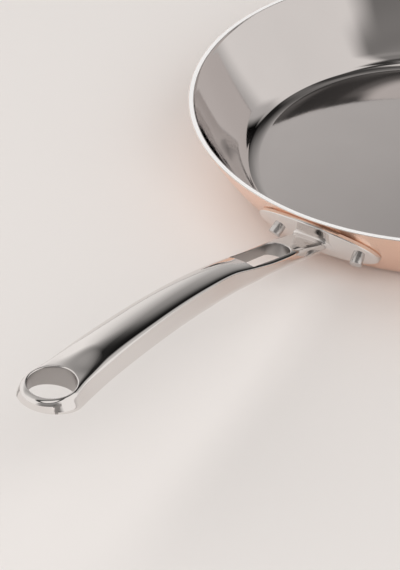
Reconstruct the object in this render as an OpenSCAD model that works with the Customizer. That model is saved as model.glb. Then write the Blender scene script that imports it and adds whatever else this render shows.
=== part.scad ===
// Copper-clad frying pan with a cast steel handle.
// Origin at the centre of the underside, +Z up, handle along +X.
// The pan is pressed from three bonded layers, so each layer is its own solid.

/* [Pan] */
// Diameter across the outside of the rim
rim_d = 280; // [220:5:340]
// Height of the rim above the surface the pan stands on
pan_h = 47; // [40:1:65]
// Radius of the small bend around the flat base, on the outside
crease_r = 6.7; // [6.5:0.1:9]
// Slope at which the small bend gives way to the base curve
crease_angle = 26; // [20:1:30]
// Radius of the curve between base and wall, on the outside
base_curve_r = 29.2; // [22:0.2:34]
// Slope of the wall where it leaves the base curve
wall_angle = 50; // [46:1:53]
// Slope of the wall at the rim
rim_angle = 62; // [59:1:66]
// Thickness of the copper outside
copper_t = 0.4; // [0.3:0.1:1.5]
// Thickness of the aluminium core
core_t = 2; // [1:0.1:3]
// Thickness of the steel lining
lining_t = 0.5; // [0.3:0.1:1]

/* [Handle] */
// Distance from the wall out to the axis of the hang hole
handle_reach = 240.5; // [200:0.5:280]
// Height gained from the wall to the hang hole
handle_rise = 58.8; // [40:0.1:80]
// Slope of the handle where it leaves the pan
root_slope = 20.5; // [12:0.1:24]
// Slope of the handle at its end
end_slope = 6; // [0:0.1:10]
// Depth of the handle's middle line below the rim, at the wall
attach_drop = 20.5; // [18:0.5:24]
// Width of the top face at the neck and beside the slot
neck_w = 18.4; // [16:0.2:22]
// Width of the top face just past the slot, the narrowest place
waist_w = 15.8; // [14:0.2:20]
// Width of the top face in the middle of the grip
grip_w = 20.6; // [17:0.2:26]
// Width of the top face just before the hang hole
shoulder_w = 23.4; // [20:0.2:28]
// Width of the top face at the hang hole
end_w = 27.8; // [27:0.2:34]
// Height of the sides at the neck
neck_t = 6.6; // [5:0.2:9]
// Height of the rails beside the slot
rail_t = 6.6; // [5:0.2:8]
// Height of the sides in the grip
grip_t = 10.2; // [9:0.2:14]
// Height of the sides at the hang hole
end_t = 8.4; // [7.4:0.2:10]
// Lean of the side faces, so the top is narrower than the underside
side_draft = 15; // [8:0.5:18]
// Lean of the side faces beside the hang hole
end_draft = 23; // [18:1:28]
// Rise of the top face along the middle of the grip
crown_h = 3.5; // [2:0.1:4.5]
// Rise of the top face along the middle of the neck
neck_crown_h = 0.5; // [0.3:0.1:1]
// Rise of the top face at the hang hole
end_crown_h = 0.3; // [0.1:0.1:0.6]
// Sag of the underside along its middle
belly_h = 0.9; // [0.3:0.1:2]
// Reach of the rounding onto the top face
round_in = 6.8; // [4:0.2:7.4]
// Reach of the rounding onto the top face beside the hang hole
end_round_in = 1.6; // [1:0.1:2.4]
// Reach of the rounding down the side faces
round_down = 2; // [1:0.1:2.4]
// Rounding along the bottom edges
low_edge_r = 2.8; // [1.5:0.1:3]
// Rounding along the bottom edges at the hang hole
end_low_edge_r = 2; // [1.5:0.1:3]
// Distance from the axis of the hang hole to the end of the handle
nose_reach = 16; // [15.6:0.1:18]
// Lean of the end face of the handle
nose_draft = 3; // [1:0.5:8]
// Reach of the rounding over the end of the handle, onto the top face
nose_round_in = 4.2; // [2:0.1:4.6]
// Reach of the same rounding down the end face
nose_round_down = 3.4; // [2:0.1:3.6]
// Fillet where the neck runs into the flange
neck_fillet = 6; // [3:0.1:6.5]

/* [Slot and hang hole] */
// Length of the slot, from its round end to its straight end
slot_len = 45; // [30:1:50]
// Width of the slot
slot_w = 14.2; // [9:0.2:14.4]
// Distance from the wall to the round end of the slot
slot_start = 34; // [28:1:38]
// Rounding in the two corners of the straight end
slot_corner_r = 1.2; // [0.6:0.1:2]
// Diameter of the hang hole
hole_d = 23.6; // [18:0.2:24]
// Rounding of the edge of the hang hole
hole_edge_r = 0.9; // [0.3:0.1:1.2]

/* [Flange] */
// Length of the flange across the wall
flange_w = 74; // [66:1:84]
// Height of the flange above the level of its two ends
flange_top_h = 20; // [15:0.5:20]
// Depth of the flange below the level of its two ends
flange_low_h = 12.4; // [10:0.2:14]
// Thickness of the flange
flange_t = 3.2; // [2.4:0.1:4.5]
// Depth of the flange's ends below the handle's middle line
flange_end_drop = 0.5; // [0:0.1:2]
// Bevel around the front of the flange
flange_bevel = 0.9; // [0.4:0.1:1.2]

/* [Rivets] */
// Distance from each rivet to the end of the flange
rivet_inset = 12.2; // [10:0.2:15]
// Depth of the rivets below the handle's middle line
rivet_drop = 2.2; // [0:0.1:4]
// Diameter of the rivet shank
rivet_d = 7; // [5:0.1:8]
// Length of the shank that stands proud of the flange
rivet_proud = 4; // [1:0.1:5]
// Bevel on the end of the shank
rivet_bevel = 0.7; // [0.3:0.1:1.2]
// Diameter of the rivet head inside the pan
head_d = 11; // [9:0.5:14]
// Height of the rivet head at its rim
head_rim_t = 0.7; // [0.4:0.1:1]
// Height of the dome on the rivet head
head_dome_h = 0.9; // [0.5:0.1:1.4]
// Clearance around the shank in its holes
rivet_fit = 0.05; // [0.02:0.01:0.15]

/* [Hidden] */
$fn = 128;
crease_steps = 4;
base_steps = 12;
wall_steps = 10;
rim_r = rim_d / 2;
// Every cut runs past what it cuts by this much
over = 2;

// Outside outline of the wall: a small bend around the flat base, the base curve,
// and a wide arc up to the rim. Each arc starts at the slope at which the last one ends.
curve_cz = crease_r * (1 - cos(crease_angle)) + base_curve_r * cos(crease_angle);
join_z = curve_cz - base_curve_r * cos(wall_angle);
wide_r = (pan_h - join_z) / (cos(wall_angle) - cos(rim_angle));
wide_cz = pan_h + wide_r * cos(rim_angle);
wide_cr = rim_r - wide_r * sin(rim_angle);
curve_cr = wide_cr + (wide_r - base_curve_r) * sin(wall_angle);
crease_cr = curve_cr + (base_curve_r - crease_r) * sin(crease_angle);

// Slope of the outside wall at a height above the small bend, and its radius there
function wall_slope(z) = z < join_z
    ? acos((curve_cz - z) / base_curve_r)
    : acos((wide_cz - z) / wide_r);
function wall_r(z) = z < join_z
    ? curve_cr + base_curve_r * sin(wall_slope(z))
    : wide_cr + wide_r * sin(wall_slope(z));

// Points of the outline moved inward by d, from the axis out to the level of the rim
function arc(cr, cz, r, a0, a1, n, first) = [for (i = [first : n])
    let (a = a0 + (a1 - a0) * i / n)
    [cr + r * sin(a), cz - r * cos(a)]];
function outline(d) =
    let (rim_end = acos((wide_cz - pan_h) / (wide_r - d)))
    concat(
        [[0, d]],
        arc(crease_cr, crease_r, crease_r - d, 0, crease_angle, crease_steps, 0),
        arc(curve_cr, curve_cz, base_curve_r - d, crease_angle, wall_angle, base_steps, 1),
        arc(wide_cr, wide_cz, wide_r - d, wall_angle, rim_end, wall_steps, 1)
    );
function backward(pts) = [for (i = [len(pts) - 1 : -1 : 0]) pts[i]];

core_start = copper_t;
lining_start = copper_t + core_t;
wall_t = copper_t + core_t + lining_t;

// One bonded layer between two depths, turned about the pan's axis
module layer(d0, d1) {
    rotate_extrude()
        polygon(concat(outline(d0), backward(outline(d1))));
}

// Everything inside the outer surface of the pan, used to seat the handle on the wall
module pan_envelope() {
    rotate_extrude()
        polygon(concat(outline(0), [[0, pan_h]]));
}

// Place of the rivets: square to the wall, one on each side of the handle
attach_z = pan_h - attach_drop;
rivet_z = attach_z - rivet_drop;
rivet_slope = wall_slope(rivet_z);
rivet_turn = asin((flange_w / 2 - rivet_inset) / wall_r(rivet_z));
module at_rivet(side) {
    rotate([0, 0, side * rivet_turn])
        translate([wall_r(rivet_z), 0, rivet_z])
            rotate([0, 180 - rivet_slope, 0])
                children();
}

// Hole through the wall and the flange for one shank
module rivet_bore(side) {
    at_rivet(side)
        translate([0, 0, -wall_t - over])
            cylinder(d = rivet_d + 2 * rivet_fit, h = wall_t + flange_t + 2 * over);
}

// Middle line of the handle: a cubic curve from the wall to the hang hole
attach_r = wall_r(attach_z);
reach_share = 0.47;
tail_share = 0.37;
line_0 = [attach_r, attach_z];
line_3 = line_0 + [handle_reach, handle_rise];
line_1 = line_0 + handle_reach * reach_share * [1, tan(root_slope)];
line_2 = line_3 - handle_reach * tail_share * [1, tan(end_slope)];
function line_at(t) = pow(1 - t, 3) * line_0 + 3 * t * pow(1 - t, 2) * line_1
    + 3 * t * t * (1 - t) * line_2 + pow(t, 3) * line_3;
function line_dir(t) =
    let (v = pow(1 - t, 2) * (line_1 - line_0) + 2 * t * (1 - t) * (line_2 - line_1)
        + t * t * (line_3 - line_2))
    v / norm(v);

// Smooth curve through values given at shares of the reach
function slope_at(k, s, v) = k == 0 ? (v[1] - v[0]) / (s[1] - s[0])
    : k == len(s) - 1 ? (v[k] - v[k - 1]) / (s[k] - s[k - 1])
    : (v[k + 1] - v[k - 1]) / (s[k + 1] - s[k - 1]);
function span_of(x, s, k = 0) = k >= len(s) - 2 || x <= s[k + 1] ? k : span_of(x, s, k + 1);
function smooth_through(x, s, v) =
    let (k = span_of(x, s), w = s[k + 1] - s[k], q = (x - s[k]) / w)
    (2 * pow(q, 3) - 3 * q * q + 1) * v[k] + (pow(q, 3) - 2 * q * q + q) * w * slope_at(k, s, v)
    + (3 * q * q - 2 * pow(q, 3)) * v[k + 1] + (pow(q, 3) - q * q) * w * slope_at(k + 1, s, v);
function mix(a, b, share) = a + (b - a) * share;

// Size and form of the section, at shares of the reach from wall to hang hole
key_shares = [0, 0.1, 0.24, 0.315, 0.395, 0.51, 0.68, 0.86, 0.95, 1];
width_keys = [neck_w, neck_w, neck_w, mix(neck_w, waist_w, 0.55), waist_w,
    mix(waist_w, grip_w, 0.42), grip_w, shoulder_w, mix(shoulder_w, end_w, 0.25), end_w];
side_keys = [neck_t, neck_t, rail_t, mix(rail_t, grip_t, 0.55), mix(rail_t, grip_t, 0.88),
    grip_t, grip_t, grip_t, grip_t, end_t];
crown_keys = [neck_crown_h, neck_crown_h, neck_crown_h, mix(neck_crown_h, crown_h, 0.06),
    mix(neck_crown_h, crown_h, 0.55), mix(neck_crown_h, crown_h, 0.85), crown_h, crown_h,
    mix(end_crown_h, crown_h, 0.06), end_crown_h];
draft_keys = [for (k = [0 : 7]) side_draft, mix(side_draft, end_draft, 0.5), end_draft];
round_keys = [for (k = [0 : 6]) round_in, mix(round_in, end_round_in, 0.24),
    mix(round_in, end_round_in, 0.71), end_round_in];
low_keys = [for (k = [0 : 7]) low_edge_r, mix(low_edge_r, end_low_edge_r, 0.5), end_low_edge_r];
function key_at(x, keys) = smooth_through(x, key_shares, keys);
last_key = len(key_shares) - 1;

// Right half of a section, from the middle of the top to the middle of the underside.
// The rounding leaves the crown along its own slope, so no edge shows there.
crown_steps = 4;
round_steps = 8;
corner_steps = 4;
belly_steps = 5;
function bend(p0, p1, p2, n) = [for (i = [0 : n])
    let (t = i / n) pow(1 - t, 2) * p0 + 2 * t * (1 - t) * p1 + t * t * p2];
function half_form(a, s, crown, draft, reach_in, reach_down, low_r) =
    let (
        b = a + s * tan(draft),
        top_in = a - reach_in,
        top_z = s / 2 + crown * (1 - pow(top_in / a, 2)),
        bend_z = top_z - 2 * crown * top_in * reach_in / pow(a, 2),
        bend_at = [a + (s / 2 - bend_z) * tan(draft), bend_z],
        top_down = bend_at + reach_down * [tan(draft), -1],
        low_up = [b - low_r * tan(draft), -s / 2 + low_r],
        low_in = b - low_r,
        low_z = -s / 2 - belly_h * (1 - pow(low_in / b, 2))
    )
    concat(
        [for (i = [0 : crown_steps - 1])
            let (y = top_in * i / crown_steps) [y, s / 2 + crown * (1 - pow(y / a, 2))]],
        bend([top_in, top_z], bend_at, top_down, round_steps),
        bend(low_up, [b, -s / 2], [low_in, low_z], corner_steps),
        [for (i = [1 : belly_steps])
            let (y = low_in * (1 - i / belly_steps)) [y, -s / 2 - belly_h * (1 - pow(y / b, 2))]]
    );
function half_section(x, flare = 0) =
    half_form(key_at(x, width_keys) / 2 + flare, key_at(x, side_keys) + 2 * flare,
        key_at(x, crown_keys), key_at(x, draft_keys), key_at(x, round_keys), round_down,
        key_at(x, low_keys));
function ring(half) = concat(half, [for (i = [len(half) - 2 : -1 : 1]) [-half[i][0], half[i][1]]]);

// The sections lie along the wall at the root and turn square to the handle past the neck
turn_share = 0.14;
root_up = [cos(wall_slope(attach_z)), sin(wall_slope(attach_z))];
function section_up(t) =
    let (d = line_dir(t), q = min(1, t / turn_share), e = q * q * (3 - 2 * q),
        v = (1 - e) * root_up + e * [-d[1], d[0]])
    v / norm(v);
// Fillet of the neck, a quarter circle that starts at the front of the flange
function neck_flare(dist) =
    let (q = (dist - flange_t) / neck_fillet)
    q < 0 ? neck_fillet : q > 1 ? 0 : neck_fillet * (1 - sqrt(1 - pow(1 - q, 2)));
function section_points(t) =
    let (
        p = line_at(t),
        u = section_up(t),
        half = half_section((p[0] - attach_r) / handle_reach, neck_flare(norm(p - line_0)))
    )
    [for (q = ring(half)) [p[0] + u[0] * q[1], q[0], p[1] + u[1] * q[1]]];

// Half-round end: the section swings about the axis of the hang hole and turns from the form
// beside the hole into that of the nose, while its height keeps tapering
function end_half(turn) =
    let (share = pow(sin(turn), 2))
    half_form(mix(end_w / 2, nose_reach, share), end_t, end_crown_h,
        mix(end_draft, nose_draft, share), mix(end_round_in, nose_round_in, share),
        mix(round_down, nose_round_down, share), end_low_edge_r);
end_taper = (side_keys[last_key] - side_keys[last_key - 1]) / handle_reach
    / (key_shares[last_key] - key_shares[last_key - 1]);
corner_first = crown_steps;
corner_last = crown_steps + round_steps + corner_steps + 1;
function end_point(half, j, turn) =
    let (p = half[j],
        edge = j < corner_first ? half[corner_first] : j > corner_last ? half[corner_last] : p,
        x = edge[0] * sin(turn))
    [x, p[0] * cos(turn), p[1] * (1 + end_taper * x / end_t)];
function end_ring(turn) =
    let (
        p = line_3,
        d = line_dir(1),
        flat = end_half(turn),
        n = len(flat),
        half = [for (j = [0 : n - 1]) end_point(flat, j, turn)],
        whole = concat(half, [for (j = [n - 2 : -1 : 1]) [half[j][0], -half[j][1], half[j][2]]])
    )
    [for (q = whole) [p[0] + d[0] * q[0] - d[1] * q[2], q[1], p[1] + d[1] * q[0] + d[0] * q[2]]];

// Stations: close together in the neck fillet, then even along the handle
fillet_stations = 10;
grip_stations = 44;
fillet_share = (flange_t + neck_fillet) / (3 * handle_reach * reach_share);
stations = concat(
    [for (i = [0 : fillet_stations - 1]) fillet_share * i / fillet_stations],
    [for (i = [0 : grip_stations]) fillet_share + (1 - fillet_share) * i / grip_stations]
);
end_turns = [11, 22, 33, 44, 55, 65, 74, 81, 86];
function handle_rings() = concat(
    [for (t = stations) section_points(t)],
    [for (a = end_turns) end_ring(a)]
);

// Face list that closes one ring: fans across the crown and the belly, a strip between them
half_last = crown_steps + round_steps + corner_steps + 1 + belly_steps;
function mirrored(j) = j == 0 ? 0 : 2 * half_last - j;
function ring_cap(start) =
    let (a = corner_first + 1, b = corner_last - 1, low = half_last)
    [for (f = concat(
        [for (j = [0 : a - 2]) each [[j, j + 1, a], [mirrored(j + 1), mirrored(j), mirrored(a)]]],
        [[0, a, mirrored(a)]],
        [for (j = [a : b - 1]) each [[j, j + 1, mirrored(j)], [j + 1, mirrored(j + 1), mirrored(j)]]],
        [[b, low, mirrored(b)]],
        [for (j = [b + 1 : low - 1]) each [[b, j, j + 1], [mirrored(j + 1), mirrored(j), mirrored(b)]]]
    )) [for (k = f) start + k]];

// Closed skin over a stack of rings that are alike and the same on both sides
module loft(rings) {
    n = len(rings[0]);
    m = len(rings);
    polyhedron(
        points = [for (r = rings) for (p = r) p],
        faces = concat(
            [for (f = ring_cap(0)) [f[0], f[2], f[1]]],
            [for (i = [0 : m - 2]) for (j = [0 : n - 1]) each [
                [i * n + j, (i + 1) * n + (j + 1) % n, (i + 1) * n + j],
                [i * n + j, i * n + (j + 1) % n, (i + 1) * n + (j + 1) % n]
            ]],
            ring_cap((m - 1) * n)
        ),
        convexity = 6
    );
}

// Frame on the middle line: X along the handle, Z square to it
module on_line(t) {
    d = line_dir(t);
    p = line_at(t);
    translate([p[0], 0, p[1]])
        rotate([0, -atan2(d[1], d[0]), 0])
            children();
}

// Height of the top face (way 1) or the underside (way -1) along the middle near the hang hole
function face_height(x, way) =
    let (share = 1 + min(x, 0) / handle_reach)
    (way * key_at(share, side_keys) / 2 + (way > 0 ? key_at(share, crown_keys) : -belly_h))
        * (1 + end_taper * max(x, 0) / end_t);

// Hang hole with its edges rolled over above and below, each leaning with its face.
// The rolled edges start a little inside the bore, so that the two cross cleanly.
hole_edge_steps = 5;
roll_lap = hole_edge_r / 9;
function rolled_edge(way) = [for (i = [0 : hole_edge_steps])
    let (a = 90 * i / hole_edge_steps)
    [hole_d / 2 - roll_lap + hole_edge_r * (1 - cos(a)), way * hole_edge_r * (sin(a) - 1)]];
module rolled_cut(way) {
    r = (hole_d + hole_edge_r) / 2;
    pan_side = face_height(-r, way);
    tip_side = face_height(r, way);
    flare_out = hole_d / 2 - roll_lap + hole_edge_r;
    translate([0, 0, (pan_side + tip_side) / 2])
        rotate([0, atan2(pan_side - tip_side, 2 * r), 0])
            rotate_extrude()
                polygon(concat([[0, -way * hole_edge_r]], rolled_edge(way),
                    [[flare_out, way * over], [0, way * over]]));
}
module hang_hole() {
    on_line(1) {
        translate([0, 0, -end_t - over])
            cylinder(d = hole_d, h = 2 * (end_t + over));
        rolled_cut(1);
        rolled_cut(-1);
    }
}

// Slot behind the neck: round toward the pan, straight across toward the grip
slot_mid_share = (slot_start + slot_len / 2) / handle_reach;
slot_t = slot_mid_share / (3 * reach_share) * (1 + slot_mid_share / 2);
slot_depth = grip_t + neck_t;
module slot() {
    r = slot_w / 2;
    c = slot_corner_r;
    on_line(slot_t)
        translate([0, 0, -slot_depth / 2])
            linear_extrude(height = slot_depth) {
                translate([r - slot_len / 2, 0])
                    circle(r = r);
                translate([r - slot_len / 2, -r])
                    square([slot_len - r - c, slot_w]);
                translate([slot_len / 2 - 2 * c, c - r])
                    square([2 * c, slot_w - 2 * c]);
                for (side = [-1, 1])
                    translate([slot_len / 2 - c, side * (r - c)])
                        circle(r = c);
            }
}

// Flange: a band that follows the outside of the wall, cut to a long rounded shape
flange_steps = 64;
flange_top_power = 2;
flange_low_power = 2.6;
function swell(x, power) = sign(x) * pow(abs(x), 2 / power);
function flange_outline(inset) = [for (i = [0 : flange_steps - 1])
    let (a = 360 * i / flange_steps, c = cos(a), s = sin(a),
        power = s < 0 ? flange_low_power : flange_top_power,
        h = (s < 0 ? flange_low_h : flange_top_h) - inset)
    [(flange_w / 2 - inset) * swell(c, power), h * swell(s, power)]];
flange_z = attach_z - flange_end_drop;
flange_span = 32;
module flange_band(d) {
    rotate([0, 0, -flange_span])
        rotate_extrude(angle = 2 * flange_span)
            polygon(concat(outline(0), backward(outline(-d))));
}
module flange_cut(inset) {
    translate([0, 0, flange_z])
        rotate([90, 0, 90])
            linear_extrude(height = rim_r + flange_t + over)
                polygon(flange_outline(inset));
}
module flange() {
    intersection() {
        flange_band(flange_t - flange_bevel);
        flange_cut(0);
    }
    intersection() {
        flange_band(flange_t);
        flange_cut(flange_bevel);
    }
}

module handle() {
    color("lightgray")
        difference() {
            union() {
                flange();
                difference() {
                    loft(handle_rings());
                    pan_envelope();
                }
            }
            slot();
            hang_hole();
            for (side = [-1, 1])
                rivet_bore(side);
        }
}

// Rivet with its domed head inside the pan and its plain end outside the flange
head_steps = 10;
module rivet(side) {
    color("silver") {
        difference() {
            at_rivet(side)
                rotate_extrude()
                    polygon(concat(
                        [[0, -lining_start], [head_d / 2, -lining_start]],
                        [for (i = [0 : head_steps])
                            let (q = i / head_steps)
                            [head_d / 2 * (1 - q), -wall_t - head_rim_t - head_dome_h * (1 - pow(1 - q, 2))]]
                    ));
            layer(0, wall_t);
        }
        at_rivet(side)
            translate([0, 0, -wall_t - head_rim_t / 2])
                rotate_extrude()
                    polygon([
                        [0, 0],
                        [rivet_d / 2, 0],
                        [rivet_d / 2, wall_t + head_rim_t / 2 + flange_t + rivet_proud - rivet_bevel],
                        [rivet_d / 2 - rivet_bevel, wall_t + head_rim_t / 2 + flange_t + rivet_proud],
                        [0, wall_t + head_rim_t / 2 + flange_t + rivet_proud]
                    ]);
    }
}

module drilled() {
    difference() {
        children();
        for (side = [-1, 1])
            rivet_bore(side);
    }
}

module copper_shell() {
    color("peru")
        drilled()
            layer(0, core_start);
}

module aluminium_core() {
    color("gainsboro")
        drilled()
            layer(core_start, lining_start);
}

module steel_lining() {
    color("silver")
        drilled()
            layer(lining_start, wall_t);
}

module rivet_left() {
    rivet(1);
}

module rivet_right() {
    rivet(-1);
}

copper_shell();
aluminium_core();
steel_lining();
handle();
rivet_left();
rivet_right();
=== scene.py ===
import math

import bmesh
import bpy
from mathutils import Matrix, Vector
from mathutils.bvhtree import BVHTree


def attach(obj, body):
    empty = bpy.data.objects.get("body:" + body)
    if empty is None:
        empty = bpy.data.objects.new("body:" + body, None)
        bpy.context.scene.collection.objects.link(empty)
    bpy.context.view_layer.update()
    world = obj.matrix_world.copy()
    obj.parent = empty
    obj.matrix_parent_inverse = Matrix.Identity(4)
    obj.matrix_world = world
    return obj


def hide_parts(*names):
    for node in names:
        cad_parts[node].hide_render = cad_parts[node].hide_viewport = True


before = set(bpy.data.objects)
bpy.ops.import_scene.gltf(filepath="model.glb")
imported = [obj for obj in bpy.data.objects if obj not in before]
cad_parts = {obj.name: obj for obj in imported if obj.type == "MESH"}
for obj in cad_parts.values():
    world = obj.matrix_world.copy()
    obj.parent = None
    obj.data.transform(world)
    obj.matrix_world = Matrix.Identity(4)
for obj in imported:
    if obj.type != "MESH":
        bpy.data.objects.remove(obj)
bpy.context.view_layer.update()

MM = 0.001

# Pan, in millimetres, as in the CAD model
RIM_R = 140.0
PAN_H = 47.0
CREASE_R = 6.7
CREASE_ANGLE = 26.0
BASE_CURVE_R = 29.2
WALL_ANGLE = 50.0
RIM_ANGLE = 62.0
COPPER_T = 0.4
CORE_T = 2.0
LINING_T = 0.5
WALL_T = COPPER_T + CORE_T + LINING_T

# Handle
HANDLE_REACH = 240.5
HANDLE_RISE = 58.8
ROOT_SLOPE = 20.5
END_SLOPE = 6.0
ATTACH_DROP = 20.5
NECK_W, WAIST_W, GRIP_W, SHOULDER_W, END_W = 18.4, 15.8, 20.6, 23.4, 27.8
NECK_T, RAIL_T, GRIP_T, END_T = 6.6, 6.6, 10.2, 8.4
SIDE_DRAFT, END_DRAFT = 15.0, 23.0
CROWN_H, NECK_CROWN_H, END_CROWN_H = 3.5, 0.5, 0.3
BELLY_H = 0.9
ROUND_IN, END_ROUND_IN, ROUND_DOWN = 6.8, 1.6, 2.0
LOW_EDGE_R, END_LOW_EDGE_R = 2.8, 2.0
NOSE_REACH, NOSE_DRAFT, NOSE_ROUND_IN, NOSE_ROUND_DOWN = 16.0, 3.0, 4.2, 3.4
NECK_FILLET = 6.0
REACH_SHARE = 0.47
TAIL_SHARE = 0.37
TURN_SHARE = 0.14

# Slot, hang hole, flange and rivets
SLOT_LEN, SLOT_W, SLOT_START, SLOT_CORNER_R = 45.0, 14.2, 34.0, 1.2
HOLE_D, HOLE_EDGE_R = 23.6, 0.9
SLOT_EDGE_R = 0.5
FLANGE_W, FLANGE_TOP_H, FLANGE_LOW_H, FLANGE_T = 74.0, 20.0, 12.4, 3.2
FLANGE_TOP_POWER, FLANGE_LOW_POWER = 2.0, 2.6
FLANGE_END_DROP, FLANGE_BEVEL, FLANGE_BACK_EASE = 0.5, 0.9, 0.5
RIVET_INSET, RIVET_DROP, RIVET_D, RIVET_PROUD, RIVET_BEVEL = 12.2, 2.2, 7.0, 4.0, 0.7
HEAD_D, HEAD_RIM_T, HEAD_DOME_H = 11.0, 0.7, 0.9

# Finer forms of the visual model alone: eased rim, wider bend inside, rounded head
RIM_EASE = 0.2
INNER_CREASE_R = 15.0
HEAD_EDGE_R = 0.4

# Steps of the curves, and the angles above which an edge stays sharp
FLOOR_STEPS, CREASE_STEPS, BASE_STEPS, WALL_STEPS, INNER_STEPS = 12, 12, 16, 24, 16
PAN_SEGMENTS, RIVET_SEGMENTS = 384, 96
CROWN_STEPS, ROUND_STEPS, CORNER_STEPS, SIDE_STEPS, BELLY_STEPS = 8, 20, 10, 6, 12
FILLET_STATIONS, GRIP_STATIONS, END_STATIONS = 20, 220, 40
ROLL_STEPS = 8
SLOT_CORNER_STEPS, SLOT_END_STEPS, SLOT_SIDE_STEPS, SLOT_ROUND_STEPS = 10, 12, 40, 60
FLANGE_SEGMENTS, FLANGE_RINGS, FLANGE_EDGE_STEPS = 240, 26, 8
HEAD_STEPS, RIVET_EDGE_STEPS = 14, 8
SHARP, PAN_SHARP, HANDLE_SHARP = 35.0, 40.0, 32.0
# Radius, in millimetres, below which a point of a turned profile counts as on the axis
ON_AXIS = 1e-6


# Angles are in degrees
def sin(a):
    return math.sin(math.radians(a))


def cos(a):
    return math.cos(math.radians(a))


def tan(a):
    return math.tan(math.radians(a))


def mix(a, b, share):
    """Value at a share of the way from a to b."""
    return a + (b - a) * share


# Outside outline of the wall: a small bend, the base curve, and a wide arc up to the rim.
# CR and CZ are the radius and the height of an arc's centre
CURVE_CZ = CREASE_R * (1 - cos(CREASE_ANGLE)) + BASE_CURVE_R * cos(CREASE_ANGLE)
JOIN_Z = CURVE_CZ - BASE_CURVE_R * cos(WALL_ANGLE)
WIDE_R = (PAN_H - JOIN_Z) / (cos(WALL_ANGLE) - cos(RIM_ANGLE))
WIDE_CZ = PAN_H + WIDE_R * cos(RIM_ANGLE)
WIDE_CR = RIM_R - WIDE_R * sin(RIM_ANGLE)
CURVE_CR = WIDE_CR + (WIDE_R - BASE_CURVE_R) * sin(WALL_ANGLE)
CREASE_CR = CURVE_CR + (BASE_CURVE_R - CREASE_R) * sin(CREASE_ANGLE)


def arc_angle(cz, r, z):
    """Slope, in degrees, of an arc with its centre at height cz where it passes height z."""
    return math.degrees(math.acos((cz - z) / r))


def wall_slope(z):
    """Slope of the outside wall at a height, in degrees."""
    return arc_angle(CURVE_CZ, BASE_CURVE_R, z) if z < JOIN_Z else arc_angle(WIDE_CZ, WIDE_R, z)


def wall_r(z, d=0.0):
    """Radius at height z of the wall's outline moved inward by d."""
    if z < CURVE_CZ - (BASE_CURVE_R - d) * cos(WALL_ANGLE):
        return CURVE_CR + (BASE_CURVE_R - d) * sin(arc_angle(CURVE_CZ, BASE_CURVE_R - d, z))
    return WIDE_CR + (WIDE_R - d) * sin(arc_angle(WIDE_CZ, WIDE_R - d, z))


def arc_points(cr, cz, r, a0, a1, n, first):
    """Points on an arc between two slopes, as (r, z)."""
    angles = [a0 + (a1 - a0) * i / n for i in range(first, n + 1)]
    return [(cr + r * sin(a), cz - r * cos(a)) for a in angles]


def outline(d):
    """Points of the outline moved inward by d, from the axis to the level of the rim."""
    rim_end = arc_angle(WIDE_CZ, WIDE_R - d, PAN_H)
    return ([(CREASE_CR * k / FLOOR_STEPS, d) for k in range(FLOOR_STEPS)]
            + arc_points(CREASE_CR, CREASE_R, CREASE_R - d, 0, CREASE_ANGLE, CREASE_STEPS, 0)
            + arc_points(CURVE_CR, CURVE_CZ, BASE_CURVE_R - d, CREASE_ANGLE, WALL_ANGLE, BASE_STEPS, 1)
            + arc_points(WIDE_CR, WIDE_CZ, WIDE_R - d, WALL_ANGLE, rim_end, WALL_STEPS, 1))


def mesh_object(name, verts, faces, sharp=SHARP, scale=MM):
    """Smooth-shaded object from points in millimetres, or in another unit with its own scale."""
    mesh = bpy.data.meshes.new(name)
    mesh.from_pydata([tuple(c * scale for c in v) for v in verts], [], faces)
    mesh.validate()
    obj = bpy.data.objects.new(name, mesh)
    bpy.context.scene.collection.objects.link(obj)
    smooth(obj, sharp)
    return obj


def smooth(obj, sharp):
    """Smooth shading with sharp edges kept above an angle in degrees."""
    obj.data.shade_smooth()
    obj.data.set_sharp_from_angle(angle=math.radians(sharp))


def lathe(name, profile, place, segments):
    """Solid of revolution of a closed profile [(r, z)], each point put in place by a function."""
    verts, faces, rows = [], [], []
    for r, z in profile:
        if r < ON_AXIS:
            rows.append([len(verts)])
            verts.append(place(0.0, 0.0, z))
        else:
            rows.append(list(range(len(verts), len(verts) + segments)))
            for i in range(segments):
                a = 2 * math.pi * i / segments
                verts.append(place(r * math.cos(a), r * math.sin(a), z))
    n = len(rows)
    for k in range(n):
        p, q = rows[k], rows[(k + 1) % n]
        if len(p) == 1 and len(q) == 1:
            continue
        for i in range(segments):
            j = (i + 1) % segments
            if len(p) == 1:
                faces.append((p[0], q[j], q[i]))
            elif len(q) == 1:
                faces.append((p[i], p[j], q[0]))
            else:
                faces.append((p[i], p[j], q[j], q[i]))
    return mesh_object(name, verts, faces, PAN_SHARP)


def here(x, y, z):
    """Place that leaves a point where it is."""
    return (x, y, z)


# Handle: middle line, sections and skin
ATTACH_Z = PAN_H - ATTACH_DROP
ATTACH_R = wall_r(ATTACH_Z)
LINE_0 = (ATTACH_R, ATTACH_Z)
LINE_3 = (ATTACH_R + HANDLE_REACH, ATTACH_Z + HANDLE_RISE)
ROOT_PULL, END_PULL = HANDLE_REACH * REACH_SHARE, HANDLE_REACH * TAIL_SHARE
LINE_1 = (LINE_0[0] + ROOT_PULL, LINE_0[1] + ROOT_PULL * tan(ROOT_SLOPE))
LINE_2 = (LINE_3[0] - END_PULL, LINE_3[1] - END_PULL * tan(END_SLOPE))


def line_at(t):
    """Point (x, z) on the middle line at a share from 0 to 1."""
    u = 1 - t
    return tuple(u ** 3 * LINE_0[k] + 3 * t * u * u * LINE_1[k]
                 + 3 * t * t * u * LINE_2[k] + t ** 3 * LINE_3[k] for k in (0, 1))


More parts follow.
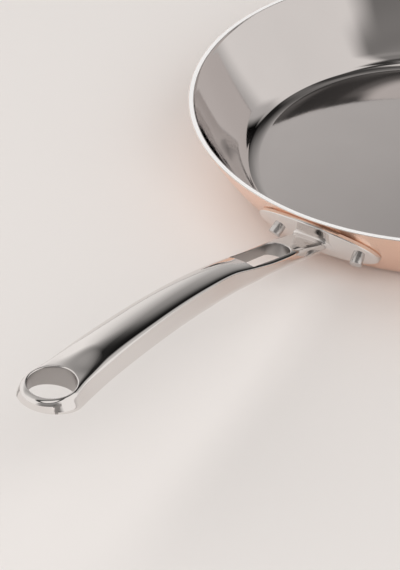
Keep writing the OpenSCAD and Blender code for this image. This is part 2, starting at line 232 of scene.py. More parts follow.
def line_dir(t):
    """Direction of the middle line there, of length 1."""
    u = 1 - t
    v = [u * u * (LINE_1[k] - LINE_0[k]) + 2 * t * u * (LINE_2[k] - LINE_1[k])
         + t * t * (LINE_3[k] - LINE_2[k]) for k in (0, 1)]
    n = math.hypot(*v)
    return (v[0] / n, v[1] / n)


def smooth_through(x, s, v):
    """Smooth curve through the values v at the shares s."""
    last = len(s) - 1
    k = 0
    while k < last - 1 and x > s[k + 1]:
        k += 1

    def slope(i):
        a, b = max(i - 1, 0), min(i + 1, last)
        return (v[b] - v[a]) / (s[b] - s[a])

    w = s[k + 1] - s[k]
    q = (x - s[k]) / w
    return ((2 * q ** 3 - 3 * q * q + 1) * v[k] + (q ** 3 - 2 * q * q + q) * w * slope(k)
            + (3 * q * q - 2 * q ** 3) * v[k + 1] + (q ** 3 - q * q) * w * slope(k + 1))


# Shares of the reach, and the sizes of the section at them
KEY_SHARES = [0, 0.1, 0.24, 0.315, 0.395, 0.51, 0.68, 0.86, 0.95, 1]
WIDTH_KEYS = [NECK_W, NECK_W, NECK_W, mix(NECK_W, WAIST_W, 0.55), WAIST_W, mix(WAIST_W, GRIP_W, 0.42),
              GRIP_W, SHOULDER_W, mix(SHOULDER_W, END_W, 0.25), END_W]
SIDE_KEYS = ([NECK_T, NECK_T, RAIL_T] + [mix(RAIL_T, GRIP_T, k) for k in (0.55, 0.88)]
             + [GRIP_T] * 4 + [END_T])
CROWN_KEYS = ([NECK_CROWN_H] * 3 + [mix(NECK_CROWN_H, CROWN_H, k) for k in (0.06, 0.55, 0.85)]
              + [CROWN_H, CROWN_H, mix(END_CROWN_H, CROWN_H, 0.06), END_CROWN_H])
DRAFT_KEYS = [SIDE_DRAFT] * 8 + [mix(SIDE_DRAFT, END_DRAFT, 0.5), END_DRAFT]
ROUND_KEYS = [ROUND_IN] * 7 + [mix(ROUND_IN, END_ROUND_IN, k) for k in (0.24, 0.71, 1)]
LOW_KEYS = [LOW_EDGE_R] * 8 + [mix(LOW_EDGE_R, END_LOW_EDGE_R, 0.5), END_LOW_EDGE_R]


def key_at(x, keys):
    """One size of the section at a share of the reach."""
    return smooth_through(x, KEY_SHARES, keys)


def bend(p0, p1, p2, n):
    """Smooth turn from p0 to p2 with its corner at p1."""
    out = []
    for i in range(n + 1):
        t = i / n
        out.append(tuple((1 - t) ** 2 * a + 2 * t * (1 - t) * b + t * t * c for a, b, c in zip(p0, p1, p2)))
    return out


def half_form(a, s, crown, draft, reach_in, reach_down, low_r):
    """Right half of a section as (y, z), from the middle of the top to the middle of the underside."""
    b = a + s * tan(draft)
    top_in = a - reach_in
    top_z = s / 2 + crown * (1 - (top_in / a) ** 2)
    bend_z = top_z - 2 * crown * top_in * reach_in / a ** 2
    bend_at = (a + (s / 2 - bend_z) * tan(draft), bend_z)
    top_down = (bend_at[0] + reach_down * tan(draft), bend_z - reach_down)
    low_up = (b - low_r * tan(draft), -s / 2 + low_r)
    low_in = b - low_r
    low_z = -s / 2 - BELLY_H * (1 - (low_in / b) ** 2)
    pts = [(top_in * i / CROWN_STEPS, s / 2 + crown * (1 - (top_in * i / CROWN_STEPS / a) ** 2))
           for i in range(CROWN_STEPS)]
    pts += bend((top_in, top_z), bend_at, top_down, ROUND_STEPS)
    pts += [tuple(mix(p, q, i / SIDE_STEPS) for p, q in zip(top_down, low_up))
            for i in range(1, SIDE_STEPS)]
    pts += bend(low_up, (b, -s / 2), (low_in, low_z), CORNER_STEPS)
    for i in range(1, BELLY_STEPS + 1):
        y = low_in * (1 - i / BELLY_STEPS)
        pts.append((y, -s / 2 - BELLY_H * (1 - (y / b) ** 2)))
    return pts


def half_section(x, flare):
    """Right half of the section at a share of the reach, grown all round by a flare."""
    return half_form(key_at(x, WIDTH_KEYS) / 2 + flare, key_at(x, SIDE_KEYS) + 2 * flare,
                     *[key_at(x, keys) for keys in (CROWN_KEYS, DRAFT_KEYS, ROUND_KEYS)],
                     ROUND_DOWN, key_at(x, LOW_KEYS))


# Direction up the wall at the flange, which the first section follows
ROOT_UP = (cos(wall_slope(ATTACH_Z)), sin(wall_slope(ATTACH_Z)))


def section_up(t):
    """Upward direction of a section, which turns from the wall's slope to square to the line."""
    d = line_dir(t)
    q = min(1, t / TURN_SHARE)
    e = q * q * (3 - 2 * q)
    v = ((1 - e) * ROOT_UP[0] - e * d[1], (1 - e) * ROOT_UP[1] + e * d[0])
    n = math.hypot(*v)
    return (v[0] / n, v[1] / n)


def neck_flare(dist):
    """Growth of the section at a distance from the wall, for the fillet to the flange."""
    q = (dist - FLANGE_T) / NECK_FILLET
    if q < 0:
        return NECK_FILLET
    return 0 if q > 1 else NECK_FILLET * (1 - math.sqrt(1 - (1 - q) ** 2))


def section_points(t):
    """Ring of the skin at t on the middle line."""
    p = line_at(t)
    u = section_up(t)
    half = half_section((p[0] - ATTACH_R) / HANDLE_REACH, neck_flare(math.dist(p, LINE_0)))
    ring = half + [(-y, z) for y, z in half[-2:0:-1]]
    return [(p[0] + u[0] * z, y, p[1] + u[1] * z) for y, z in ring]


# Change of the side's height at the end, per millimetre of reach
END_TAPER = (SIDE_KEYS[-1] - SIDE_KEYS[-2]) / HANDLE_REACH / (KEY_SHARES[-1] - KEY_SHARES[-2])
# First and last point of a half section's edge
CORNER_FIRST = CROWN_STEPS
CORNER_LAST = CROWN_STEPS + ROUND_STEPS + SIDE_STEPS + CORNER_STEPS


def end_half(turn):
    """Section of the half-round end at a turn: from its form beside the hole to that of the nose."""
    share = sin(turn) ** 2
    return half_form(mix(END_W / 2, NOSE_REACH, share), END_T, END_CROWN_H,
                     mix(END_DRAFT, NOSE_DRAFT, share), mix(END_ROUND_IN, NOSE_ROUND_IN, share),
                     mix(ROUND_DOWN, NOSE_ROUND_DOWN, share), END_LOW_EDGE_R)


def end_ring(turn):
    """Section swung about the axis of the hang hole, its height tapering on."""
    d = line_dir(1)
    flat = end_half(turn)
    half = []
    for j, p in enumerate(flat):
        edge = flat[CORNER_FIRST] if j < CORNER_FIRST else flat[CORNER_LAST] if j > CORNER_LAST else p
        x = edge[0] * sin(turn)
        half.append((x, p[0] * cos(turn), p[1] * (1 + END_TAPER * x / END_T)))
    whole = half + [(x, -y, z) for x, y, z in half[-2:0:-1]]
    return [(LINE_3[0] + d[0] * x - d[1] * z, y, LINE_3[1] + d[1] * x + d[0] * z) for x, y, z in whole]


def on_line(t):
    """Function that takes local (x along, y across, z up) at t on the middle line to the frame."""
    p, d = line_at(t), line_dir(t)
    return lambda x, y, z: (p[0] + d[0] * x - d[1] * z, y, p[1] + d[1] * x + d[0] * z)


# Share of the line that the fillet takes, and the end's last turn, just short of the middle plane
FILLET_SHARE = (FLANGE_T + NECK_FILLET) / (3 * HANDLE_REACH * REACH_SHARE)
LAST_TURN = 88


def handle_skin():
    """Closed skin of the handle without its flange and holes, as points and faces."""
    rings = [section_points(FILLET_SHARE * i / FILLET_STATIONS) for i in range(FILLET_STATIONS)]
    rings += [section_points(FILLET_SHARE + (1 - FILLET_SHARE) * i / GRIP_STATIONS)
              for i in range(GRIP_STATIONS + 1)]
    rings += [end_ring(LAST_TURN * math.sin(math.pi / 2 * i / END_STATIONS))
              for i in range(1, END_STATIONS + 1)]
    n = len(rings[0])
    verts = [p for r in rings for p in r]
    faces = []
    for i in range(len(rings) - 1):
        for j in range(n):
            k = (j + 1) % n
            faces.append((i * n + j, i * n + k, (i + 1) * n + k, (i + 1) * n + j))
    last = (len(rings) - 1) * n
    half = n // 2
    for base, flip in ((0, True), (last, False)):
        for j in range(half):
            a, b = j, j + 1
            c, e = (n - b) % n, (n - a) % n
            f = tuple(base + k for k in dict.fromkeys((a, b, c, e)))
            faces.append(f[::-1] if flip else f)
    return verts, faces


# Height from which a hole's edges are looked for, and how far a cutter runs past them
PROBE_H = 60
CUTTER_OVER = 3


def rolled_cutter(name, loop, place, tree, edge_r):
    """Closed cutter for a hole whose edges are rolled over above and below.

    loop(d) gives the hole's outline moved outward by d, and tree is the surface that it cuts.
    """
    up = Vector(place(0, 0, 1)) - Vector(place(0, 0, 0))
    n = len(loop(0))
    tops, lows = [], []
    for x, y in loop(edge_r):
        p = Vector(place(x, y, PROBE_H))
        hit = tree.ray_cast(p, -up)[0]
        tops.append(PROBE_H - (p - hit).length)
        p = Vector(place(x, y, -PROBE_H))
        hit = tree.ray_cast(p, up)[0]
        lows.append((hit - p).length - PROBE_H)
    rows = [[place(x, y, z + CUTTER_OVER) for (x, y), z in zip(loop(edge_r), tops)]]
    for i in range(ROLL_STEPS, -1, -1):
        a = math.pi / 2 * i / ROLL_STEPS
        pts = loop(edge_r * (1 - math.cos(a)))
        rows.append([place(x, y, z + edge_r * (math.sin(a) - 1)) for (x, y), z in zip(pts, tops)])
    for i in range(ROLL_STEPS + 1):
        a = math.pi / 2 * i / ROLL_STEPS
        pts = loop(edge_r * (1 - math.cos(a)))
        rows.append([place(x, y, z - edge_r * (math.sin(a) - 1)) for (x, y), z in zip(pts, lows)])
    rows.append([place(x, y, z - CUTTER_OVER) for (x, y), z in zip(loop(edge_r), lows)])
    verts = [p for r in rows for p in r]
    faces = [tuple(range(n))]
    for i in range(len(rows) - 1):
        for j in range(n):
            k = (j + 1) % n
            faces.append((i * n + k, i * n + j, (i + 1) * n + j, (i + 1) * n + k))
    faces.append(tuple(range((len(rows) - 1) * n + n - 1, (len(rows) - 1) * n - 1, -1)))
    return mesh_object(name, verts, faces, scale=1.0)


def hole_loop(d, n=160):
    """Hang hole's outline moved outward by d."""
    r = HOLE_D / 2 + d
    angles = [2 * math.pi * i / n for i in range(n)]
    return [(r * math.cos(a), r * math.sin(a)) for a in angles]


def slot_loop(d):
    """Slot outline moved outward by d: round toward the pan, straight toward the grip."""
    r, c, half = SLOT_W / 2, SLOT_CORNER_R, SLOT_LEN / 2
    pts = []
    for i in range(SLOT_CORNER_STEPS + 1):
        a = -90 + 90 * i / SLOT_CORNER_STEPS
        pts.append((half - c + (c + d) * cos(a), c - r + (c + d) * sin(a)))
    for i in range(1, SLOT_END_STEPS):
        pts.append((half + d, mix(c - r, r - c, i / SLOT_END_STEPS)))
    for i in range(SLOT_CORNER_STEPS + 1):
        a = 90 * i / SLOT_CORNER_STEPS
        pts.append((half - c + (c + d) * cos(a), r - c + (c + d) * sin(a)))
    for i in range(1, SLOT_SIDE_STEPS):
        pts.append((mix(half - c, r - half, i / SLOT_SIDE_STEPS), r + d))
    for i in range(SLOT_ROUND_STEPS + 1):
        a = 90 + 180 * i / SLOT_ROUND_STEPS
        pts.append((r - half + (r + d) * cos(a), (r + d) * sin(a)))
    for i in range(1, SLOT_SIDE_STEPS):
        pts.append((mix(r - half, half - c, i / SLOT_SIDE_STEPS), -r - d))
    return pts


# Middle of the slot, as a share of the reach and of the middle line
SLOT_MID_SHARE = (SLOT_START + SLOT_LEN / 2) / HANDLE_REACH
SLOT_T = SLOT_MID_SHARE / (3 * REACH_SHARE) * (1 + SLOT_MID_SHARE / 2)


def make_handle():
    """The casting: its skin with the hang hole and slot cut through, and its flange."""
    verts, faces = handle_skin()
    obj = mesh_object("cast_handle", verts, faces, scale=1.0)
    tree = BVHTree.FromPolygons([Vector(v) for v in verts], faces)
    cutters = [
        rolled_cutter("cut_hole", hole_loop, on_line(1), tree, HOLE_EDGE_R),
        rolled_cutter("cut_slot", slot_loop, on_line(SLOT_T), tree, SLOT_EDGE_R),
    ]
    for cutter in cutters:
        mod = obj.modifiers.new("cut", "BOOLEAN")
        mod.operation = "DIFFERENCE"
        mod.solver = "EXACT"
        mod.object = cutter
    bpy.context.view_layer.update()
    cut = bpy.data.meshes.new_from_object(obj.evaluated_get(bpy.context.evaluated_depsgraph_get()))
    obj.modifiers.clear()
    obj.data = cut
    for cutter in cutters:
        bpy.data.objects.remove(cutter)
    bm = bmesh.new()
    bm.from_mesh(obj.data)
    mark_cut_walls(bm)
    add_flange(bm)
    bmesh.ops.scale(bm, vec=(MM, MM, MM), verts=bm.verts)
    bm.to_mesh(obj.data)
    bm.free()
    smooth(obj, HANDLE_SHARP)
    return obj


# Marked walls: how far outside a hole's outline and off the middle line they may lie, and
# how far they may lean
MARK_MARGIN = 0.4
MARK_H = 12
MARK_LEAN = 0.5


def mark_cut_walls(bm):
    """Marks the straight walls inside the hang hole and the slot, which get a rougher, less glossy finish
    and a darker colour that is partly painted shade.
    """
    mark = bm.faces.layers.float.new("cut_wall")
    for t, reach_x, reach_y in ((1, HOLE_D / 2, HOLE_D / 2), (SLOT_T, SLOT_LEN / 2, SLOT_W / 2)):
        place = on_line(t)
        origin = Vector(place(0, 0, 0))
        along, up = Vector(place(1, 0, 0)) - origin, Vector(place(0, 0, 1)) - origin
        for face in bm.faces:
            at = face.calc_center_median() - origin
            x, y = at.dot(along), at.y
            inside = abs(x) < reach_x + MARK_MARGIN and abs(y) < reach_y + MARK_MARGIN
            steep = abs(face.normal.dot(up)) < MARK_LEAN
            if inside and steep and abs(at.dot(up)) < MARK_H:
                face[mark] = 1.0


def add_flange(bm):
    """Long plate that follows the wall, with a rounded front edge."""
    flange_z = ATTACH_Z - FLANGE_END_DROP

    def point(inset, a, d, share=1.0):
        c, s = cos(a), sin(a)
        power = FLANGE_TOP_POWER if s >= 0 else FLANGE_LOW_POWER
        h = (FLANGE_TOP_H if s >= 0 else FLANGE_LOW_H) - inset
        y = share * (FLANGE_W / 2 - inset) * math.copysign(abs(c) ** (2 / power), c)
        z = flange_z + share * h * math.copysign(abs(s) ** (2 / power), s)
        r = wall_r(z, -d)
        return (math.sqrt(r * r - y * y), y, z)

    def loop(inset, d, share=1.0):
        return [point(inset, 360 * i / FLANGE_SEGMENTS, d, share) for i in range(FLANGE_SEGMENTS)]

    rows = [loop(FLANGE_BACK_EASE, 0), loop(0, FLANGE_BACK_EASE)]
    for k in range(FLANGE_EDGE_STEPS + 1):
        a = 90 * k / FLANGE_EDGE_STEPS
        rows.append(loop(FLANGE_BEVEL * (1 - cos(a)), FLANGE_T - FLANGE_BEVEL + FLANGE_BEVEL * sin(a)))
    rows += [loop(FLANGE_BEVEL, FLANGE_T, k / FLANGE_RINGS) for k in range(FLANGE_RINGS - 1, 0, -1)]
    made = [[bm.verts.new(p) for p in row] for row in rows]
    middle = bm.verts.new(point(FLANGE_BEVEL, 0, FLANGE_T, 0))
    for p, q in zip(made[:-1], made[1:]):
        for i in range(FLANGE_SEGMENTS):
            j = (i + 1) % FLANGE_SEGMENTS
            bm.faces.new((p[i], p[j], q[j], q[i]))
    for i in range(FLANGE_SEGMENTS):
        bm.faces.new((made[-1][i], made[-1][(i + 1) % FLANGE_SEGMENTS], middle))
    bmesh.ops.recalc_face_normals(bm, faces=bm.faces)


RIVET_Z = ATTACH_Z - RIVET_DROP
RIVET_TURN = math.degrees(math.asin((FLANGE_W / 2 - RIVET_INSET) / wall_r(RIVET_Z)))
# How far the head reaches into the lining, where the shank starts inside the flange, and
# the share of its end up to the last ring
HEAD_LAP = 0.02
SHANK_START = 0.5
END_RING_SHARE = 0.4


def at_rivet(side):
    """Function that takes a rivet's local (x, y, z) to the frame; z runs out square to the wall."""
    tilt = 180 - wall_slope(RIVET_Z)
    turn = side * RIVET_TURN

    def place(x, y, z):
        x1, z1 = x * cos(tilt) + z * sin(tilt), -x * sin(tilt) + z * cos(tilt)
        x1 += wall_r(RIVET_Z)
        z1 += RIVET_Z
        return (x1 * cos(turn) - y * sin(turn), x1 * sin(turn) + y * cos(turn), z1)
    return place


def make_rivet(name, side):
    """Shank with a rounded end outside, and a low domed head inside the pan."""
    shank_r, end = RIVET_D / 2, FLANGE_T + RIVET_PROUD
    dome_r, seat = HEAD_D / 2 - HEAD_EDGE_R, HEAD_LAP - WALL_T
    profile = [(0, seat), (dome_r, seat)]
    for i in range(RIVET_EDGE_STEPS + 1):
        a = 90 * i / RIVET_EDGE_STEPS
        z = -WALL_T - HEAD_RIM_T + HEAD_EDGE_R - HEAD_EDGE_R * sin(a)
        profile.append((dome_r + HEAD_EDGE_R * cos(a), z))
    for i in range(1, HEAD_STEPS + 1):
        q = i / HEAD_STEPS
        profile.append((dome_r * (1 - q), -WALL_T - HEAD_RIM_T - HEAD_DOME_H * (1 - (1 - q) ** 2)))
    head = lathe(name + "_head", profile, at_rivet(side), RIVET_SEGMENTS)
    shank = [(0, SHANK_START), (shank_r, SHANK_START), (shank_r, end - RIVET_BEVEL)]
    for i in range(1, RIVET_EDGE_STEPS + 1):
        a = 90 * i / RIVET_EDGE_STEPS
        z = end - RIVET_BEVEL + RIVET_BEVEL * sin(a)
        shank.append((shank_r - RIVET_BEVEL + RIVET_BEVEL * cos(a), z))
    shank += [(shank_r * END_RING_SHARE, end), (0, end)]
    body = lathe(name, shank, at_rivet(side), RIVET_SEGMENTS)
    bm = bmesh.new()
    bm.from_mesh(head.data)
    bm.from_mesh(body.data)
    bmesh.ops.recalc_face_normals(bm, faces=bm.faces)
    bm.to_mesh(body.data)
    bm.free()
    smooth(body, PAN_SHARP)
    bpy.data.objects.remove(head)
    return body


# Materials
BROAD_SCALE = 18
BROAD_DETAIL, FINE_DETAIL = 3, 4
BUMP_DISTANCE = 0.00002


def material(name):
    """New material with its nodes, links and shader."""
    mat = bpy.data.materials.new(name)
    mat.use_nodes = True
    nodes = mat.node_tree.nodes
    return mat, nodes, mat.node_tree.links, nodes["Principled BSDF"]


def set_material(obj, mat):
    """Makes a material the only one of an object."""
    obj.data.materials.clear()
    obj.data.materials.append(mat)


def ring_coords(nodes, links, coords):
    """Coordinates (distance from the axis, 0, height), in which a pattern runs in rings."""
    split = nodes.new("ShaderNodeSeparateXYZ")
    links.new(coords, split.inputs[0])
    flat = nodes.new("ShaderNodeCombineXYZ")
    links.new(split.outputs["X"], flat.inputs["X"])
    links.new(split.outputs["Y"], flat.inputs["Y"])
    length = nodes.new("ShaderNodeVectorMath")
    length.operation = "LENGTH"
    links.new(flat.outputs[0], length.inputs[0])
    joined = nodes.new("ShaderNodeCombineXYZ")
    links.new(length.outputs["Value"], joined.inputs["X"])
    links.new(split.outputs["Z"], joined.inputs["Z"])
    return joined.outputs[0]


def noise(nodes, links, coords, scale, detail):
    """Noise in given coordinates."""
    node = nodes.new("ShaderNodeTexNoise")
    node.inputs["Scale"].default_value = scale
    node.inputs["Detail"].default_value = detail
    links.new(coords, node.inputs["Vector"])
    return node.outputs["Fac"]


def metal(name, colour, rough, rough_spread, grain, bump, metallic=1.0, tint=0.06, rings=False):
    """Metal with fine polishing lines in its gloss and surface, and a slight drift of tone."""
    mat, nodes, links, shader = material(name)
    shader.inputs["Metallic"].default_value = metallic
    coords = nodes.new("ShaderNodeTexCoord").outputs["Object"]
    lines = ring_coords(nodes, links, coords) if rings else coords
    fine = noise(nodes, links, lines, grain, FINE_DETAIL)
    broad = noise(nodes, links, coords, BROAD_SCALE, BROAD_DETAIL)
    gloss = nodes.new("ShaderNodeMapRange")
    gloss.inputs["To Min"].default_value = rough - rough_spread
    gloss.inputs["To Max"].default_value = rough + rough_spread
    links.new(fine, gloss.inputs["Value"])
    links.new(gloss.outputs[0], shader.inputs["Roughness"])
    tone = nodes.new("ShaderNodeMix")
    tone.data_type = "RGBA"
    tone.inputs["A"].default_value = (*[c * (1 - tint) for c in colour], 1)
    tone.inputs["B"].default_value = (*[min(1, c * (1 + tint)) for c in colour], 1)
    links.new(broad, tone.inputs["Factor"])
    links.new(tone.outputs["Result"], shader.inputs["Base Color"])
    raised = nodes.new("ShaderNodeBump")
    raised.inputs["Strength"].default_value = bump
    raised.inputs["Distance"].default_value = BUMP_DISTANCE
    links.new(fine, raised.inputs["Height"])
    links.new(raised.outputs[0], shader.inputs["Normal"])
    return mat


# Depths below the rim, in millimetres, at which the painted highlight on its cut edge starts and is full
RIM_HIGHLIGHT_START, RIM_HIGHLIGHT_FULL = 0.25, 0.05


def painted_rim_highlight(mat, height, colour):
    """Paler, brighter colour on the cut edge at the rim: a painted highlight."""
    nodes, links = mat.node_tree.nodes, mat.node_tree.links
    shader = nodes["Principled BSDF"]
    coords = nodes.new("ShaderNodeTexCoord")
    split = nodes.new("ShaderNodeSeparateXYZ")
    links.new(coords.outputs["Object"], split.inputs[0])
    above = nodes.new("ShaderNodeMapRange")
    above.inputs["From Min"].default_value = (height - RIM_HIGHLIGHT_START) * MM
    above.inputs["From Max"].default_value = (height - RIM_HIGHLIGHT_FULL) * MM
    links.new(split.outputs["Z"], above.inputs["Value"])
    blend = nodes.new("ShaderNodeMix")
    blend.data_type = "RGBA"
    links.new(above.outputs[0], blend.inputs["Factor"])
    links.new(shader.inputs["Base Color"].links[0].from_socket, blend.inputs["A"])
    blend.inputs["B"].default_value = (*colour, 1)
    links.new(blend.outputs["Result"], shader.inputs["Base Color"])


# Numbers of a mix node's two inputs and its output, by the kind of value that it blends
MIX_SOCKETS = {"RGBA": (6, 7, 2), "FLOAT": (2, 3, 0)}


def satin_and_shade_where(mat, attribute, colour, rough):
    """Blend of a metal with a rougher, darker one on the faces that an attribute marks; the darker colour
    is partly painted shade.
    """
    nodes, links = mat.node_tree.nodes, mat.node_tree.links
    shader = nodes["Principled BSDF"]
    marked = nodes.new("ShaderNodeAttribute")
    marked.attribute_name = attribute
    for socket, value, kind in (("Base Color", (*colour, 1), "RGBA"), ("Roughness", rough, "FLOAT")):
        plain, marked_value, result = MIX_SOCKETS[kind]
        blend = nodes.new("ShaderNodeMix")
        blend.data_type = kind
        links.new(marked.outputs["Fac"], blend.inputs[0])
        links.new(shader.inputs[socket].links[0].from_socket, blend.inputs[plain])
        blend.inputs[marked_value].default_value = value
        links.new(blend.outputs[result], shader.inputs[socket])


copper_look = metal("copper", (0.96, 0.67, 0.53), rough=0.20, rough_spread=0.05,
                    grain=1500, bump=0.25, rings=True)
# The copper's cut edge at the rim is painted pale and bright: a painted highlight.
painted_rim_highlight(copper_look, PAN_H, (0.95, 0.88, 0.84))
core_look = metal("aluminium", (0.95, 0.95, 0.95), rough=0.50, rough_spread=0.05,
                  grain=1800, bump=0.2, metallic=0.1, rings=True)
lining_look = metal("lining_steel", (0.64, 0.61, 0.60), rough=0.06, rough_spread=0.02,
                    grain=1600, bump=0.15, rings=True)
handle_look = metal("handle_steel", (0.80, 0.775, 0.76), rough=0.05, rough_spread=0.02,
                    grain=900, bump=0.05, tint=0.02)
# Walls of the hang hole and slot: a rougher finish, and a darker colour that is partly the cast surface and
# partly painted shade in these recesses.
satin_and_shade_where(handle_look, "cut_wall", (0.40, 0.38, 0.37), rough=0.32)
rivet_look = metal("rivet_steel", (0.60, 0.58, 0.57), rough=0.20, rough_spread=0.05,
                   grain=1200, bump=0.1, tint=0.03)

# Pan: three bonded layers. Points of the inner outline this close to its wider bend are left out
BEND_GAP = 0.2
# Turns, in degrees, at which the eased edge at the rim has its points
EASE_ANGLES = (0, 22, 45, 67, 90)


def ease_crease(points):
    """The inner outline with its small bend replaced by a wider one that meets the same two sides."""
    corner_r = CREASE_CR + (CREASE_R - WALL_T) * tan(CREASE_ANGLE / 2)
    reach = INNER_CREASE_R * tan(CREASE_ANGLE / 2)
    start, end = corner_r - reach, corner_r + reach * cos(CREASE_ANGLE)
    angles = [CREASE_ANGLE * i / INNER_STEPS for i in range(INNER_STEPS + 1)]
    bend_points = [(start + INNER_CREASE_R * sin(a), WALL_T + INNER_CREASE_R * (1 - cos(a)))
                   for a in angles]
    return ([q for q in points if q[0] < start - BEND_GAP] + bend_points
            + [q for q in points if q[0] > end + BEND_GAP])


def layer(name, d0, d1, look, node, ease_out=False, ease_in=False):
    """One layer of the wall, between two depths in it, with its outer or inner edge at the rim eased."""
    outer, inner = outline(d0), outline(d1)
    rim = []
    if ease_out:
        x, z = outer.pop()
        rim += [(x - RIM_EASE + RIM_EASE * cos(a), z - RIM_EASE + RIM_EASE * sin(a)) for a in EASE_ANGLES]
    if ease_in:
        inner = ease_crease(inner)
        x, z = inner.pop()
        rim += [(x + RIM_EASE - RIM_EASE * cos(a), z - RIM_EASE + RIM_EASE * sin(a))
                for a in reversed(EASE_ANGLES)]
    obj = lathe(name, outer + rim + inner[::-1], here, PAN_SEGMENTS)
    set_material(obj, look)
    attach(obj, "root")
    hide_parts(node)


layer("copper_outside", 0.0, COPPER_T, copper_look, "copper_shell", ease_out=True)
layer("core_layer", COPPER_T, COPPER_T + CORE_T, core_look, "aluminium_core")
layer("lining_layer", COPPER_T + CORE_T, WALL_T, lining_look, "steel_lining", ease_in=True)

handle = make_handle()
set_material(handle, handle_look)
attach(handle, "root")
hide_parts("handle")

for rivet_node, rivet_side in (("rivet_left", 1), ("rivet_right", -1)):
    rivet = make_rivet(rivet_node + "_piece", rivet_side)
    set_material(rivet, rivet_look)
    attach(rivet, "root")
    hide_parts(rivet_node)

# Table, in metres, a hair below the pan's base
TABLE_HALF = 4.0
TABLE_GAP = 0.0002
TABLE_TONES = ((0.79, 0.763, 0.745), (0.82, 0.793, 0.775))
TABLE_ROUGH = 0.6
TABLE_NOISE_SCALE, TABLE_NOISE_DETAIL = 2.0, 2.0
corners = [(x * TABLE_HALF, y * TABLE_HALF, 0) for x, y in ((-1, -1), (1, -1), (1, 1), (-1, 1))]
table = mesh_object("table_top", corners, [(0, 1, 2, 3)], scale=1.0)
table.location.z = -TABLE_GAP
table_look, t_nodes, t_links, t_shader = material("table")
t_shader.inputs["Roughness"].default_value = TABLE_ROUGH
t_coords = t_nodes.new("ShaderNodeTexCoord")
t_tone = t_nodes.new("ShaderNodeMix")
t_tone.data_type = "RGBA"
for t_socket, t_colour in zip(("A", "B"), TABLE_TONES):
    t_tone.inputs[t_socket].default_value = (*t_colour, 1)
t_links.new(noise(t_nodes, t_links, t_coords.outputs["Object"], TABLE_NOISE_SCALE, TABLE_NOISE_DETAIL),
            t_tone.inputs["Factor"])
t_links.new(t_tone.outputs["Result"], t_shader.inputs["Base Color"])
set_material(table, table_look)

# World: a studio with pale walls, of which one is dim and one strip is black, and a dim ceiling between two
# tall pale screens. Azimuth in degrees from +X toward +Y, and the level of the walls there
HORIZON = [(0, 0.40), (10, 0.25), (62, 0.22), (76, 0.95), (143, 0.95), (150, 0.60), (158, 0.55),
           (164, 0.0), (175, 0.02), (180, 0.08), (184, 0.15), (188, 0.25), (191, 0.30), (195, 0.37),
           (202, 0.51), (207, 0.60), (214, 0.77), (225, 0.95), (345, 0.95), (360, 0.40)]
# Share of the two tall pale screens, by azimuth
SCREEN_SHARE = [(0, 0.25), (72, 0.25), (84, 1.0), (150, 1.0), (163, 0.0), (184, 0.0), (207, 0.25),
                (218, 0.35), (255, 0.6), (280, 1.0), (340, 1.0), (352, 0.25)]
# Levels above the walls, on the screens and between them, by the sine of the height
SCREEN = [(0.0, 0.95), (0.90, 0.95), (0.925, 0.05), (0.96, 0.05), (0.975, 0.95)]
BETWEEN = [(0.58, 0.01), (0.70, 0.02), (0.77, 0.18), (0.81, 0.18), (0.85, 0.06), (0.93, 0.08),
           (0.955, 0.25), (0.975, 0.95)]
# Heights in degrees between which the walls go over into these levels
WALL_END, SCREEN_FULL, BETWEEN_FULL = 30, 41.5, 43
# Green and blue of the room's light, as shares of its red
WARM, NEUTRAL = (0.97, 0.945), (1, 1)
# Share of its strength with which the room lights dull surfaces
ROOM_SHARE = 0.75

world = bpy.data.worlds.new("room")
bpy.context.scene.world = world
world.use_nodes = True
w_nodes, w_links = world.node_tree.nodes, world.node_tree.links
background = w_nodes["Background"]
w_coords = w_nodes.new("ShaderNodeTexCoord")
w_split = w_nodes.new("ShaderNodeSeparateXYZ")
w_links.new(w_coords.outputs["Generated"], w_split.inputs[0])


def world_math(operation, *values):
    """Math node with sockets or numbers as its values."""
    node = w_nodes.new("ShaderNodeMath")
    node.operation = operation
    for k, value in enumerate(values):
        if isinstance(value, (int, float)):
            node.inputs[k].default_value = value
        else:
            w_links.new(value, node.inputs[k])
    return node.outputs[0]


def world_ramp(fac, stops, warm=WARM):
    """Grey ramp through (position, level) stops, a little warm."""
    node = w_nodes.new("ShaderNodeValToRGB")
    w_links.new(fac, node.inputs["Fac"])
    elements = node.color_ramp.elements
    while len(elements) < len(stops):
        elements.new(0.5)
    for e, (position, level) in zip(elements, stops):
        e.position = position
        e.color = (level, level * warm[0], level * warm[1], 1)
    return node.outputs["Color"]


def by_turn(stops):
    """Stops given by azimuth in degrees, as shares of a full turn."""
    return [(azimuth / 360, level) for azimuth, level in stops]


def world_mix(fac, a, b):
    """Blend of two colours."""
    node = w_nodes.new("ShaderNodeMix")
    node.data_type = "RGBA"
    w_links.new(fac, node.inputs["Factor"])
    w_links.new(a, node.inputs["A"])
    w_links.new(b, node.inputs["B"])
    return node.outputs["Result"]


def rise(start, end):
    """Smooth step from 0 to 1 between two heights in degrees."""
    node = w_nodes.new("ShaderNodeMapRange")
    node.interpolation_type = "SMOOTHSTEP"
    node.inputs["From Min"].default_value = sin(start)
    node.inputs["From Max"].default_value = sin(end)
    w_links.new(w_split.outputs["Z"], node.inputs["Value"])
    return node.outputs[0]


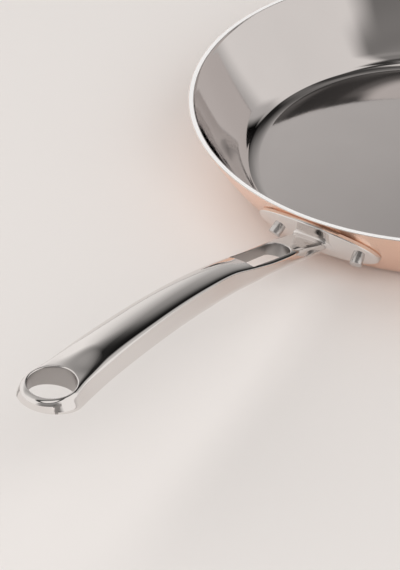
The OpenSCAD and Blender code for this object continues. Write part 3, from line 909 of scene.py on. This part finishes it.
turn = world_math("ARCTAN2", *[world_math("MULTIPLY", w_split.outputs[axis], -1) for axis in ("Y", "X")])
around = world_math("MULTIPLY_ADD", turn, 1 / (2 * math.pi), 0.5)
walls = world_ramp(around, by_turn(HORIZON))
between = world_mix(rise(WALL_END, BETWEEN_FULL), walls, world_ramp(w_split.outputs["Z"], BETWEEN))
screen = world_mix(rise(WALL_END, SCREEN_FULL), walls, world_ramp(w_split.outputs["Z"], SCREEN))
screen_share = world_ramp(around, by_turn(SCREEN_SHARE), NEUTRAL)
w_links.new(world_mix(screen_share, between, screen), background.inputs["Color"])
rays = w_nodes.new("ShaderNodeLightPath")
seen = world_math("ADD", rays.outputs["Is Camera Ray"], rays.outputs["Is Glossy Ray"])
w_links.new(world_math("MULTIPLY_ADD", seen, 1 - ROOM_SHARE, ROOM_SHARE), background.inputs["Strength"])

# Lamps, in metres and watts
KEY_AT, KEY_SIZE, KEY_POWER = (0.2, -1.6, 1.28), (3.6, 2.0), 23
FILL_AT, FILL_SIZE, FILL_POWER = (1.5, 1.2, 1.7), (2.4, 2.0), 36
LAMP_COLOUR = (1, 0.985, 0.975)


def area_light(name, place, size, power):
    """Lamp that faces the pan and stays out of the reflections, which show the studio alone."""
    data = bpy.data.lights.new(name, "AREA")
    data.shape = "RECTANGLE"
    data.size, data.size_y = size
    data.energy = power
    data.color = LAMP_COLOUR
    obj = bpy.data.objects.new(name, data)
    obj.location = place
    obj.rotation_mode = "QUATERNION"
    obj.rotation_quaternion = (-Vector(place)).to_track_quat("-Z", "Y")
    obj.visible_glossy = False
    bpy.context.scene.collection.objects.link(obj)


area_light("key_light", KEY_AT, KEY_SIZE, KEY_POWER)
area_light("fill_light", FILL_AT, FILL_SIZE, FILL_POWER)

# Camera, fitted to the photograph's 400 x 570 frame
FOCAL_PX = 2600.0
FRAME_PX = 570.0
SENSOR_MM = 36.0
CAMERA_AT = (1.114712, 0.574825, 0.856391)
CAMERA_AZ, CAMERA_EL = 123.38, 37.071
CLIP_START, CLIP_END = 0.01, 100
camera_data = bpy.data.cameras.new("camera")
camera_data.sensor_fit = "AUTO"
camera_data.sensor_width = SENSOR_MM
camera_data.lens = FOCAL_PX * SENSOR_MM / FRAME_PX
camera_data.clip_start = CLIP_START
camera_data.clip_end = CLIP_END
camera = bpy.data.objects.new("camera", camera_data)
bpy.context.scene.collection.objects.link(camera)
back = Vector((sin(CAMERA_AZ) * cos(CAMERA_EL), -cos(CAMERA_AZ) * cos(CAMERA_EL), sin(CAMERA_EL)))
camera.location = CAMERA_AT
camera.rotation_mode = "QUATERNION"
camera.rotation_quaternion = (-back).to_track_quat("-Z", "Y")
bpy.context.scene.camera = camera

bpy.context.scene.view_settings.view_transform = "Standard"
